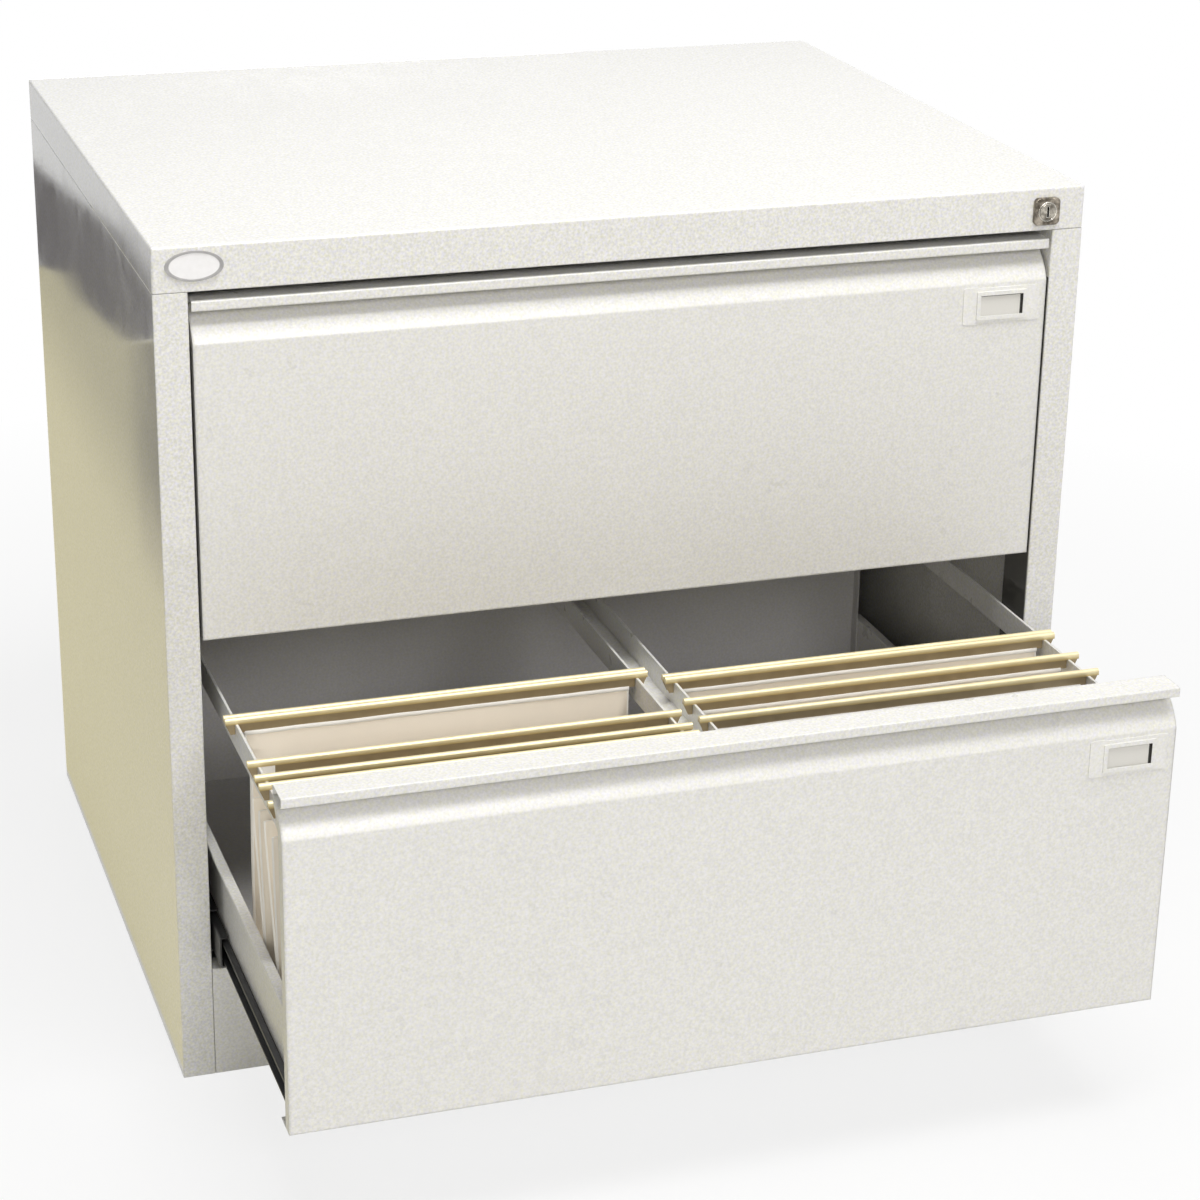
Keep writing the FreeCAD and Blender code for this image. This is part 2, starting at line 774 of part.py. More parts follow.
def lock_bar_guides():
    """Blocks on the side panel that the lock bar slides through."""
    x = (lock_bar_x - guide_gap, lock_bar_x + lock_bar_width + guide_gap)
    y = (front_y + lock_bar_front - guide_gap, front_y + lock_bar_front + lock_bar_sheet + guide_gap)
    blocks = []
    for drawer in drawers:
        level = drawer["bottom"] + catch_bottom + catch_height + lock_tab_above_catch + guide_above_tab
        z = (level - guide_height / 2, level + guide_height / 2)
        inner = opening_x + panel_sheet + guide_gap
        block = box((inner, side_x - panel_sheet), (y[0] - guide_wall, y[1] + guide_wall), z)
        blocks.append(block.cut(box(x, y, z)))
    return Part.makeCompound(blocks)


def cabinet_screws():
    screws = [screw(place, (-side, 0, 0)) for side in (-1, 1) for place in runner_screws(side)]
    screws += [screw(place, (0, 1, 0)) for place in back_screws()]
    return Part.makeCompound(screws)


def carrier_bar(row, depth):
    """Bar with a beaded top edge, whose ends step up over the rails and hook down outside them."""
    rail = rail_spacing / 2
    half = rail + bar_overhang
    clear = rail_sheet / 2 + hook_gap
    top = rail_top + bar_rise
    over = rail_top + hook_gap
    end = [(rail - clear, top - bar_height), (rail - clear, over), (rail + clear, over)]
    end += [(rail + clear, top - hook_drop), (half - hook_taper, top - hook_drop)]
    end += [(half, top - bar_bead_height), (half, top)]
    outline = end + [(-x, z) for x, z in reversed(end)]
    web = along_y(polygon(outline), depth - bar_web / 2, depth + bar_web / 2)
    bead_y = (depth - bar_bead / 2, depth + bar_bead / 2)
    bead = box((-half, half), bead_y, (top - bar_bead_height, top))
    upper = top - bar_bead_height / 2
    long_top = edges_near(bead, lambda edge: edge.BoundBox.XLength > half and edge.BoundBox.ZMin > upper)
    bead = bead.makeFillet(bar_bead_round, long_top)
    solid = fuse([web, bead])
    solid.translate(FreeCAD.Vector(row * (centre_gap + rail_spacing) / 2, 0, 0))
    return solid


def file_bars_of(name):
    row, back, front = file_bars[name]
    lower = drawers[1]
    return Part.makeCompound([place_front(carrier_bar(row, depth), lower) for depth in (back, front)])


def file_pocket(name):
    """Card pocket that hangs from both bars. Its two cards come together below and share a narrow base."""
    row, back, front = file_bars[name]
    top = rail_top + bar_rise - bar_height
    base = low_side_bottom + 2 * panel_sheet + pocket_floor_gap
    knee = base + pocket_knee
    half = pocket_sheet / 2
    middle = (back + front) / 2
    foot = pocket_base / 2
    inner = foot - pocket_sheet
    outline = [(front - half, top), (front + half, top), (middle - inner, knee)]
    outline += [(middle - inner, base + pocket_sheet), (middle + inner, base + pocket_sheet)]
    outline += [(middle + inner, knee), (back - half, top), (back + half, top)]
    outline += [(middle + foot, knee), (middle + foot, base), (middle - foot, base), (middle - foot, knee)]
    x = row * (centre_gap + rail_spacing) / 2
    reach = rail_spacing / 2 - pocket_clearance
    pocket = along_x(polygon(outline), x - reach, x + reach)
    return place_front(pocket, drawers[1])


pieces["lid"] = lid()
pieces["back_panel"] = back_panel()
pieces["base_pan"] = base_pan()
pieces["kick_panel"] = kick_panel()
pieces["badge_plate"] = badge_plate()
pieces["lock_housing"] = lock_housing()
pieces["lock_nut"] = lock_nut()
pieces["lock_plug"] = lock_plug()
pieces["lock_cam"] = lock_cam()
pieces["lock_bar"] = lock_bar()
pieces["lock_bar_guides"] = lock_bar_guides()
pieces["cabinet_screws"] = cabinet_screws()
for side_name, side in (("left", -1), ("right", 1)):
    pieces[f"{side_name}_side_panel"] = side_panel(side)
    pieces[f"{side_name}_rear_upright"] = rear_upright(side)
    for drawer in drawers:
        prefix = f"{drawer['name']}_{side_name}"
        pieces[f"{prefix}_cabinet_runner"] = cabinet_runner(drawer, side)
        pieces[f"{prefix}_low_side"] = low_side(drawer, side)
for drawer in drawers:
    prefix = drawer["name"]
    pieces[f"{prefix}_front_skin"] = front_skin(drawer)
    pieces[f"{prefix}_grip_lip"] = grip_lip(drawer)
    pieces[f"{prefix}_front_liner"] = front_liner(drawer)
    pieces[f"{prefix}_lock_catch"] = lock_catch(drawer)
    pieces[f"{prefix}_drawer_floor"] = drawer_floor(drawer)
    pieces[f"{prefix}_drawer_back"] = drawer_back(drawer)
    pieces[f"{prefix}_side_rails"] = side_rails(drawer)
    pieces[f"{prefix}_centre_channel"] = centre_channel(drawer)
    pieces[f"{prefix}_label_holder"] = label_holder(drawer)
    pieces[f"{prefix}_label_card"] = label_card(drawer)
    pieces[f"{prefix}_drawer_runners"] = drawer_runners(drawer)
    pieces[f"{prefix}_middle_runners"] = middle_runners(drawer)
    pieces[f"{prefix}_ball_rows"] = ball_rows(drawer)
for name in file_bars:
    pieces[f"{name}_bars"] = file_bars_of(name)
    pieces[f"{name}_pocket"] = file_pocket(name)

os.makedirs("parts", exist_ok=True)
for name, shape in pieces.items():
    shape.exportStep(f"parts/{name}.step")
print(len(pieces), "pieces")
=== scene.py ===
import math

import bmesh
import bpy
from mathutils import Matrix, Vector, noise


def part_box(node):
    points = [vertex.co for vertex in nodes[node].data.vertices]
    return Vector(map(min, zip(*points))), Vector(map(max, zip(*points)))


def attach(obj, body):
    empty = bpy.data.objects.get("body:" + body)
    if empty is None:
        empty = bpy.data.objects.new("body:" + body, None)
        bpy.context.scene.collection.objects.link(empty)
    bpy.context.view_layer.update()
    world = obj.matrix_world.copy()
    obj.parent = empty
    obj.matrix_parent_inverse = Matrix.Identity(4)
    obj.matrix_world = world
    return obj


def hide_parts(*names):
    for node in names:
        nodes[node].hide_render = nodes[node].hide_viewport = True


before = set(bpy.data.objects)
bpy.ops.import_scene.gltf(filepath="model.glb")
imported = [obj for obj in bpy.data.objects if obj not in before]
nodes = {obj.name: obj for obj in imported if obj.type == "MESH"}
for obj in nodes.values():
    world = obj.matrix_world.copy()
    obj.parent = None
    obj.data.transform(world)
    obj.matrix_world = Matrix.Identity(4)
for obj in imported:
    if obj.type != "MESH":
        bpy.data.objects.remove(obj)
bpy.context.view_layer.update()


# Camera. It stands in front of the cabinet and to the left of it, above the lid, and looks down at
# the open drawer, as the photographer did.
camera_place = (-0.75925, -2.477084, 1.298952)
camera_turn = (68.29713, -0.90136, -18.29006)
camera_data = bpy.data.cameras.new("camera")
camera_data.sensor_width = 36.0
camera_data.lens = 89.9186
camera_data.clip_end = 60.0
camera = bpy.data.objects.new("camera", camera_data)
camera.location = camera_place
camera.rotation_euler = [math.radians(angle) for angle in camera_turn]
bpy.context.scene.collection.objects.link(camera)
bpy.context.scene.camera = camera


# Floor. A plain pale studio floor, just under the cabinet, that keeps the cabinet's shadow. To the
# camera, and in what gloss and metal mirror, it is nearly white, and further out it is pure white.
floor_half = 9.0
floor_height = -0.0005
floor_colour = (0.80, 0.80, 0.79, 1)
shadow_reach = 0.7
white_reach = 1.5
white_near = 0.8
white = (1, 1, 1, 1)


def add_node(tree, kind, settings=None, inputs=None):
    """Adds a shader node, with its settings, and sets or links its inputs by name or number."""
    node = tree.nodes.new(kind)
    for name, value in (settings or {}).items():
        setattr(node, name, value)
    for name, value in (inputs or {}).items():
        if isinstance(value, bpy.types.NodeSocket):
            tree.links.new(value, node.inputs[name])
        else:
            node.inputs[name].default_value = value
    return node


def maths(tree, operation, *values):
    """One value from a maths node, whose inputs are values or sockets."""
    node = add_node(tree, "ShaderNodeMath", {"operation": operation}, dict(enumerate(values)))
    return node.outputs[0]


def ramp(tree, value, start, end, low=0.0, high=1.0, clamp=True):
    """Goes from low to high as the value goes from start to end."""
    node = add_node(tree, "ShaderNodeMapRange", {"clamp": clamp}, {
        "Value": value, "From Min": start, "From Max": end, "To Min": low, "To Max": high})
    return node.outputs[0]


def own_place(tree):
    """Places in the coordinates of the piece itself, in metres."""
    return add_node(tree, "ShaderNodeTexCoord").outputs["Object"]


def seen_rays(tree):
    """1 for rays from the camera and for those that gloss, metal or glass send on, else 0."""
    rays = add_node(tree, "ShaderNodeLightPath").outputs
    mirrored = maths(tree, "MAXIMUM", rays["Is Glossy Ray"], rays["Is Transmission Ray"])
    return maths(tree, "MAXIMUM", rays["Is Camera Ray"], mirrored)


def empty_tree(owner):
    """The node tree of a material or a world, with its first nodes taken out."""
    owner.use_nodes = True
    owner.node_tree.nodes.clear()
    return owner.node_tree


def studio_sheet(name, outline, height, material):
    """A flat sheet of the studio, as an outline of X and Y at one height."""
    mesh = bpy.data.meshes.new(name)
    mesh.from_pydata([(x, y, 0) for x, y in outline], [], [range(len(outline))])
    mesh.materials.append(material)
    sheet = bpy.data.objects.new(name, mesh)
    sheet.location.z = height
    bpy.context.scene.collection.objects.link(sheet)
    return sheet


floor_material = bpy.data.materials.new("studio_floor")
tree = empty_tree(floor_material)
matt = add_node(tree, "ShaderNodeBsdfDiffuse", inputs={"Color": floor_colour})
glow = add_node(tree, "ShaderNodeEmission", inputs={"Color": white, "Strength": 1.0})
reach = add_node(tree, "ShaderNodeVectorMath", {"operation": "LENGTH"}, {0: own_place(tree)})
fade = ramp(tree, reach.outputs["Value"], shadow_reach, white_reach, low=white_near)
seen = maths(tree, "MULTIPLY", seen_rays(tree), fade)
both = add_node(tree, "ShaderNodeMixShader", inputs={
    0: seen, 1: matt.outputs[0], 2: glow.outputs[0]})
add_node(tree, "ShaderNodeOutputMaterial", inputs={"Surface": both.outputs[0]})
floor_corners = [(-floor_half, -floor_half), (floor_half, -floor_half),
                 (floor_half, floor_half), (-floor_half, floor_half)]
floor = studio_sheet("studio_floor", floor_corners, floor_height, floor_material)


# Cloths. Three cloths lie on the floor along the cabinet's left side and on past its back: cream,
# shaded cream and dark. They are no lamps but glow, light nothing and hide nothing, and show only
# as the room that the glossy left side of the cabinet mirrors. Their glow is a painted reflection
# of a lit and shaded room, and their darkening away from the cabinet is painted shade.
shade_start = -0.56
shade_end = -0.64
cloths = {
    "cream_cloth": {
        "height": 0.0006, "colour": (0.92, 0.84, 0.52, 1), "painted_far_shade": 0.68,
        "outline": [(-0.389, -0.9), (-0.389, 2.25), (-0.645, 2.25), (-0.676, 2.182),
                    (-0.679, 2.033), (-0.698, 1.875), (-0.715, 1.784), (-0.79, 1.8), (-0.79, -0.9)],
    },
    "painted_shade_cloth": {
        "height": 0.0009, "colour": (0.90, 0.81, 0.52, 1), "painted_far_shade": 0.3,
        "outline": [(-0.570, 0.76), (-0.570, 0.90), (-0.715, 1.77), (-0.79, 1.79), (-0.74, 1.50)],
    },
    "dark_cloth": {
        "height": 0.0012, "colour": (0.03, 0.02, 0.035, 1), "painted_far_shade": 1.0,
        "outline": [(-0.645, 2.42), (-0.645, 2.25), (-0.676, 2.182), (-0.679, 2.033),
                    (-0.698, 1.875), (-0.715, 1.784), (-0.762, 1.80), (-0.810, 2.0), (-0.810, 2.4),
                    (-0.788, 2.56), (-0.760, 2.75), (-0.730, 3.05), (-0.700, 3.05)],
    },
}


def glowing_cloth_material(name, colour, painted_far_shade):
    """Cloth that sends out its own colour, which darkens away from the cabinet as painted shade."""
    material = bpy.data.materials.new(name)
    tree = empty_tree(material)
    across = add_node(tree, "ShaderNodeSeparateXYZ", inputs={0: own_place(tree)}).outputs["X"]
    shade = ramp(tree, across, shade_start, shade_end, low=1.0, high=painted_far_shade)
    shine = add_node(tree, "ShaderNodeEmission", inputs={"Color": colour, "Strength": shade})
    add_node(tree, "ShaderNodeOutputMaterial", inputs={"Surface": shine.outputs[0]})
    return material


for name, made in cloths.items():
    material = glowing_cloth_material(name, made["colour"], made["painted_far_shade"])
    cloth = studio_sheet(name, made["outline"], made["height"], material)
    cloth.visible_camera = cloth.visible_diffuse = cloth.visible_shadow = False


# Room. An even pale room round the floor. It gives a little light, and it is white to the camera
# and in what gloss and metal mirror.
room_light = 0.05
world = bpy.data.worlds.new("studio_room")
bpy.context.scene.world = world
tree = empty_tree(world)
dim = add_node(tree, "ShaderNodeBackground", inputs={"Color": white, "Strength": room_light})
bright = add_node(tree, "ShaderNodeBackground", inputs={"Color": white, "Strength": 1.0})
both = add_node(tree, "ShaderNodeMixShader", inputs={
    0: seen_rays(tree), 1: dim.outputs[0], 2: bright.outputs[0]})
add_node(tree, "ShaderNodeOutputWorld", inputs={"Surface": both.outputs[0]})
bpy.context.scene.view_settings.view_transform = "Standard"


# Studio lights, all broad and soft: two high above, one far in front and above, one at the left in
# front, which fills the shade beside the open drawer, and a low one behind, for the back.
def soft_light(name, place, target, size, power, colour=(1.0, 1.0, 1.0)):
    data = bpy.data.lights.new(name, "AREA")
    data.shape = "RECTANGLE"
    data.size, data.size_y = size
    data.energy = power
    data.color = colour
    lamp = bpy.data.objects.new(name, data)
    lamp.location = place
    lamp.rotation_euler = (Vector(target) - Vector(place)).to_track_quat("-Z", "Y").to_euler()
    bpy.context.scene.collection.objects.link(lamp)


soft_light("overhead_light", place=(0.1, 0.6, 3.1), target=(0, 0, 0.7), size=(2.4, 2.4),
           power=22)
soft_light("ceiling_light", place=(0.25, -1.15, 3.2), target=(0, -0.35, 0.45), size=(2.4, 1.2),
           power=76)
soft_light("front_light", place=(0.6, -5.2, 3.0), target=(0, -0.3, 0.4), size=(1.6, 1.2),
           power=80, colour=(0.98, 0.97, 1.0))
soft_light("left_light", place=(-1.8, -5.0, 1.6), target=(-0.2, -0.3, 0.3), size=(2.0, 2.0),
           power=60, colour=(1.0, 0.98, 0.91))
soft_light("back_light", place=(0.6, 5.0, 1.0), target=(0, 0.3, 0.35), size=(2.0, 1.0),
           power=60)


# Carcass: side panels with stiles, lid, kick panel, back and base of folded sheet steel, welded and
# then powder coated in a warm light grey, glossy on the lid and sides and duller and darker behind
# and inside, where the darker grey is painted shade.
# The coat is paler on the sheets' edges, partly from wear and partly as a painted highlight, and
# painted shade darkens the stiles' inner returns beside the drawer fronts.
cabinet_grey = (0.745, 0.735, 0.70)
# The same paint made darker, as painted shade for the back, base and insides.
inside_shade_grey = (0.60, 0.59, 0.575)
# Near-black colour of the painted shade in the gaps beside the drawer fronts.
gap_shade_colour = (0.09, 0.088, 0.08, 1)
# Paler edge colour: partly wear, partly a painted highlight.
worn_and_highlit_edge = (0.92, 0.91, 0.88, 1)
worn_and_highlit_edge_share = 0.8
worn_and_highlit_edge_radius = 0.0008
worn_and_highlit_edge_breaks = 45.0
worn_and_highlit_edge_turn = (0.80, 0.99)
break_noise = (0.3, 0.55)
wear_samples = 6
bend_samples = 4
carcass_front = -0.311
opening_half = 0.36
opening_top = 0.634
gap_shade_half_width = (0.0005, 0.0014)
gap_shade_depth = (0.0004, 0.0025)
broad_clouds = (3.5, 2.0)
small_clouds = (45.0, 2.0)
pale_grains = (480.0, 2.0)
blue_grains = (370.0, 1.0)
orange_peel = (330.0, 1.0)
noise_middle = (0.3, 0.7)
peel_depth = 0.0004
gloss_drift = 0.02


def new_group(name, inputs, outputs):
    """A shader node group with named inputs and outputs, and the nodes at its two ends."""
    group = bpy.data.node_groups.new(name, "ShaderNodeTree")
    for label, value in inputs.items():
        kind = "NodeSocketColor" if isinstance(value, tuple) else "NodeSocketFloat"
        socket = group.interface.new_socket(label, in_out="INPUT", socket_type=kind)
        socket.default_value = value
    for label, kind in outputs.items():
        group.interface.new_socket(label, in_out="OUTPUT", socket_type=kind)
    return group, group.nodes.new("NodeGroupInput"), group.nodes.new("NodeGroupOutput")


def clouds(tree, place, scale, detail):
    """Noise between 0 and 1 in clouds of one size. A larger scale makes smaller clouds."""
    texture = add_node(tree, "ShaderNodeTexNoise", inputs={
        "Vector": place, "Scale": scale, "Detail": detail})
    return texture.outputs["Fac"]


def mixed(tree, factor, first, second, blend="MIX"):
    """A colour mixed from two. Inputs 6 and 7 and output 2 of the node are its colour sockets."""
    node = add_node(tree, "ShaderNodeMix", {"data_type": "RGBA", "blend_type": blend},
                    {"Factor": factor, 6: first, 7: second})
    return node.outputs[2]


def powder_coat_group():
    """Colour with slow clouds and a fine warm and cool speckle, and the orange peel's height."""
    group, given, result = new_group(
        "powder_coat",
        {"Paint": (0.7, 0.7, 0.7, 1), "Clouds": 0.006, "Speckle": 0.05, "Gloss": 0.35},
        {"Color": "NodeSocketColor", "Roughness": "NodeSocketFloat", "Height": "NodeSocketFloat"},
    )
    place = own_place(group)
    broad, small, pale_grain, blue_grain = [
        ramp(group, clouds(group, place, *size), *noise_middle, -1.0, 1.0, clamp=False)
        for size in (broad_clouds, small_clouds, pale_grains, blue_grains)]
    slow = maths(group, "ADD", broad, small)
    shade = maths(group, "MULTIPLY_ADD", slow, given.outputs["Clouds"], 1.0)
    shade = maths(group, "MULTIPLY_ADD", pale_grain, given.outputs["Speckle"], shade)
    blue = maths(group, "SUBTRACT", shade,
                 maths(group, "MULTIPLY", blue_grain, given.outputs["Speckle"]))
    grains = add_node(group, "ShaderNodeCombineColor", inputs={0: shade, 1: shade, 2: blue})
    tint = mixed(group, 1.0, given.outputs["Paint"], grains.outputs[0], blend="MULTIPLY")
    rough = maths(group, "MULTIPLY_ADD", slow, gloss_drift, given.outputs["Gloss"])
    group.links.new(tint, result.inputs["Color"])
    group.links.new(rough, result.inputs["Roughness"])
    group.links.new(clouds(group, place, *orange_peel), result.inputs["Height"])
    return group


def edge_wear_and_highlight_group():
    """1 along a piece's edges and 0 on its flats, broken up by noise: wear and a painted edge
    highlight.
    """
    group, given, result = new_group(
        "edge_wear_and_highlight", {"Radius": 0.0006, "Breaks": 900.0}, {"Mask": "NodeSocketFloat"})
    bend = add_node(group, "ShaderNodeBevel", {"samples": wear_samples},
                    {"Radius": given.outputs["Radius"]})
    flat = add_node(group, "ShaderNodeNewGeometry").outputs["Normal"]
    facing = add_node(group, "ShaderNodeVectorMath", {"operation": "DOT_PRODUCT"},
                      {0: bend.outputs[0], 1: flat}).outputs["Value"]
    turned = ramp(group, facing, *worn_and_highlit_edge_turn, low=1.0, high=0.0)
    cloud = clouds(group, own_place(group), given.outputs["Breaks"], 2.0)
    broken = ramp(group, cloud, *break_noise)
    group.links.new(maths(group, "MULTIPLY", turned, broken), result.inputs["Mask"])
    return group


def gap_shade_group():
    """Painted shade: 1 on the stiles' inner returns, where the drawer fronts' edges run close by,
    and else 0.
    """
    group, given, result = new_group(
        "gap_shade", {"Return": opening_half, "Face": carcass_front, "Top": opening_top},
        {"Mask": "NodeSocketFloat"})
    axes = add_node(group, "ShaderNodeSeparateXYZ", inputs={0: own_place(group)}).outputs
    aside = maths(group, "SUBTRACT", maths(group, "ABSOLUTE", axes["X"]), given.outputs["Return"])
    near = ramp(group, maths(group, "ABSOLUTE", aside), *gap_shade_half_width, low=1.0, high=0.0)
    depth = maths(group, "SUBTRACT", axes["Y"], given.outputs["Face"])
    below = maths(group, "LESS_THAN", axes["Z"], given.outputs["Top"])
    deep = maths(group, "MULTIPLY", ramp(group, depth, *gap_shade_depth), below)
    group.links.new(maths(group, "MULTIPLY", near, deep), result.inputs["Mask"])
    return group


powder_coat = powder_coat_group()
edge_wear_and_highlight = edge_wear_and_highlight_group()
gap_shade = gap_shade_group()


def place_group(tree, group, **values):
    """A group placed in a material, and its outputs."""
    return add_node(tree, "ShaderNodeGroup", {"node_tree": group}, values).outputs


def new_material(name):
    material = bpy.data.materials.new(name)
    material.use_nodes = True
    return material, material.node_tree, material.node_tree.nodes["Principled BSDF"]


def painted_steel(name, colour, gloss, peel, edge, speckle=0.06, gap_shaded=False):
    """Powder coated sheet. The edge radius rounds the sheet's edges in the light."""
    material, tree, shader = new_material(name)
    coat = place_group(tree, powder_coat, Paint=(*colour, 1), Gloss=gloss, Speckle=speckle)
    # Paler edges: wear and a painted highlight.
    wear_and_highlight = place_group(tree, edge_wear_and_highlight, Radius=worn_and_highlit_edge_radius, Breaks=worn_and_highlit_edge_breaks)["Mask"]
    paint = mixed(tree, maths(tree, "MULTIPLY", wear_and_highlight, worn_and_highlit_edge_share), coat["Color"], worn_and_highlit_edge)
    # Painted shade in the gaps beside the drawer fronts.
    if gap_shaded:
        paint = mixed(tree, place_group(tree, gap_shade)["Mask"], paint, gap_shade_colour)
    bend = add_node(tree, "ShaderNodeBevel", {"samples": bend_samples}, {"Radius": edge})
    bump = add_node(tree, "ShaderNodeBump", inputs={
        "Height": coat["Height"], "Strength": peel, "Distance": peel_depth,
        "Normal": bend.outputs[0]})
    tree.links.new(paint, shader.inputs["Base Color"])
    tree.links.new(coat["Roughness"], shader.inputs["Roughness"])
    tree.links.new(bump.outputs[0], shader.inputs["Normal"])
    return material


def dress(names, material):
    for name in names:
        nodes[name].data.materials.clear()
        nodes[name].data.materials.append(material)


carcass_paint = painted_steel("carcass_paint", cabinet_grey, gloss=0.06, peel=0.03, edge=0.0012,
                              speckle=0.11, gap_shaded=True)
outside_paint = painted_steel("outside_paint", cabinet_grey, gloss=0.3, peel=0.12, edge=0.0012,
                              speckle=0.09)
inside_shade_paint = painted_steel("inside_shade_paint", inside_shade_grey, gloss=0.42, peel=0.15, edge=0.0008)
dress(["lid", "left_side_panel", "right_side_panel"], carcass_paint)
dress(["kick_panel"], outside_paint)
dress(["back_panel", "base_pan", "left_rear_upright", "right_rear_upright"], inside_shade_paint)


# Screws, lock bar, cam, nut and lock catches: small stamped and turned steel, zinc plated. The
# plating is cloudy, with faint scratches along each piece.
scratch_roughness = 0.11
scratch_bump = 0.12
scratch_depth = 0.0002
plating_clouds = (90.0, 4.0)
plating_darkness = 0.72


def rough_between(tree, drift, least, most):
    """Roughness that goes from least to most with the drift."""
    return maths(tree, "MULTIPLY_ADD", drift, most - least, least)


def plated_steel(name, colour, rough, metallic, streak):
    """Plated steel, or the runners' near-black steel. The streak is how fine the scratches are
    along X, Y and Z.
    """
    material, tree, shader = new_material(name)
    place = own_place(tree)
    stretched = add_node(tree, "ShaderNodeMapping", inputs={"Vector": place, "Scale": streak})
    scratch = clouds(tree, stretched.outputs[0], 1.0, 2.0)
    dark = [part * plating_darkness for part in colour]
    tint = mixed(tree, clouds(tree, place, *plating_clouds), (*dark, 1), (*colour, 1))
    bump = add_node(tree, "ShaderNodeBump", inputs={
        "Height": scratch, "Strength": scratch_bump, "Distance": scratch_depth})
    tree.links.new(tint, shader.inputs["Base Color"])
    worn = rough_between(tree, scratch, rough - scratch_roughness, rough + scratch_roughness)
    tree.links.new(worn, shader.inputs["Roughness"])
    tree.links.new(bump.outputs[0], shader.inputs["Normal"])
    shader.inputs["Metallic"].default_value = metallic
    return material


zinc_steel = plated_steel("zinc_steel", (0.62, 0.62, 0.60), rough=0.38, metallic=1.0,
                          streak=(900, 900, 40))
dress(["cabinet_screws", "lock_nut", "lock_cam", "lock_bar", "upper_lock_catch",
       "lower_lock_catch"], zinc_steel)


# Guide blocks of the lock bar: small mouldings of natural nylon, a little cloudy, clipped to the
# right side panel.
nylon_dark = (0.74, 0.72, 0.66, 1)
nylon_pale = (0.86, 0.85, 0.80, 1)
nylon_clouds = (140.0, 3.0)
guide_plastic, tree, shader = new_material("guide_plastic")
cloud = clouds(tree, own_place(tree), *nylon_clouds)
tree.links.new(mixed(tree, cloud, nylon_dark, nylon_pale), shader.inputs["Base Color"])
tree.links.new(rough_between(tree, cloud, 0.4, 0.6), shader.inputs["Roughness"])
dress(["lock_bar_guides"], guide_plastic)


# Telescopic runners: rolled steel channels coloured near black, streaked along their length, and
# bright steel balls in a dark cage. They are screwed to the stile and the rear upright.
runner_steel = plated_steel("runner_steel", (0.085, 0.085, 0.088), rough=0.42, metallic=0.8,
                            streak=(700, 14, 700))
ball_steel = plated_steel("ball_steel", (0.42, 0.42, 0.43), rough=0.22, metallic=1.0,
                          streak=(300, 300, 300))
for drawer in ("upper", "lower"):
    dress([f"{drawer}_left_cabinet_runner", f"{drawer}_right_cabinet_runner"], runner_steel)
    dress([f"{drawer}_middle_runners", f"{drawer}_drawer_runners"], runner_steel)
    dress([f"{drawer}_ball_rows"], ball_steel)


# Drawers: welded up from folded sheet steel. The front skin with its bent-back shoulder, the grip
# lip, low sides, file rails and centre channel are in the outside paint, and the trough behind the
# front, the floor and the back in a duller, darker grey, whose darkness is painted shade. The
# skin's bends are rounder than the others.
skin_paint = painted_steel("skin_paint", cabinet_grey, gloss=0.3, peel=0.06, edge=0.003,
                           speckle=0.075)
for drawer in ("upper", "lower"):
    dress([f"{drawer}_front_skin"], skin_paint)
    dress([f"{drawer}_{part}" for part in ("grip_lip", "left_low_side", "right_low_side",
                                           "side_rails", "centre_channel")], outside_paint)
    dress([f"{drawer}_{part}" for part in ("front_liner", "drawer_floor", "drawer_back")],
          inside_shade_paint)


# Label holders: pressed steel frames with an ear at each end, painted with the drawer front.
# Behind the window a near-black sheet paints the shade of the slot, and the blank card in it has
# slipped left and down a little, so that this painted shade shows at its right and top edges.
front_faces = {"upper": carcass_front, "lower": -0.5863}
window_heights = {"upper": 0.6147, "lower": 0.3261}
window_half_height = 0.00865
window_right = 0.33665
slot_x = (0.2962, 0.3386)
slot_beyond_window = 0.0022
slot_thickness = 0.0002
card_left = 0.2964
card_slip = 0.0022
card_below_window = 0.002
card_top_slip = 0.001
card_face = 0.0006
paper_pulp = (35.0, 4.0)
paper_tooth = (1500.0, 2.0)
tooth_bump = 0.15
tooth_depth = 0.0002
paper_shine = 0.3


def add_piece(name, mesh, material, body, smooth=False):
    """Links a new mesh, with its material, as a piece that moves with a body."""
    mesh.materials.append(material)
    if smooth:
        mesh.shade_smooth()
    piece = bpy.data.objects.new(name, mesh)
    bpy.context.scene.collection.objects.link(piece)
    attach(piece, body)
    return piece


def rounded_sheet(name, x, y, z, corner, edge):
    """A flat sheet that faces the front, with rounded corners and softened edges."""
    corner_steps = 6
    outline = []
    corners = ((x[1], z[1], 0), (x[0], z[1], 90), (x[0], z[0], 180), (x[1], z[0], 270))
    for sx, sz, start in corners:
        centre_x = sx - corner if sx == x[1] else sx + corner
        centre_z = sz - corner if sz == z[1] else sz + corner
        for step in range(corner_steps + 1):
            angle = math.radians(start + 90 / corner_steps * step)
            outline.append((centre_x + corner * math.cos(angle),
                            centre_z + corner * math.sin(angle)))
    shape = bmesh.new()
    face = shape.faces.new([shape.verts.new((a, y[1], b)) for a, b in outline])
    swept = bmesh.ops.extrude_face_region(shape, geom=[face])["geom"]
    moved = [part for part in swept if isinstance(part, bmesh.types.BMVert)]
    bmesh.ops.translate(shape, vec=(0, y[0] - y[1], 0), verts=moved)
    front = [e for e in shape.edges if all(abs(v.co.y - y[0]) < 1e-7 for v in e.verts)]
    bmesh.ops.bevel(shape, geom=front, offset=edge, segments=2, affect="EDGES")
    bmesh.ops.recalc_face_normals(shape, faces=shape.faces)
    mesh = bpy.data.meshes.new(name)
    shape.to_mesh(mesh)
    shape.free()
    return mesh


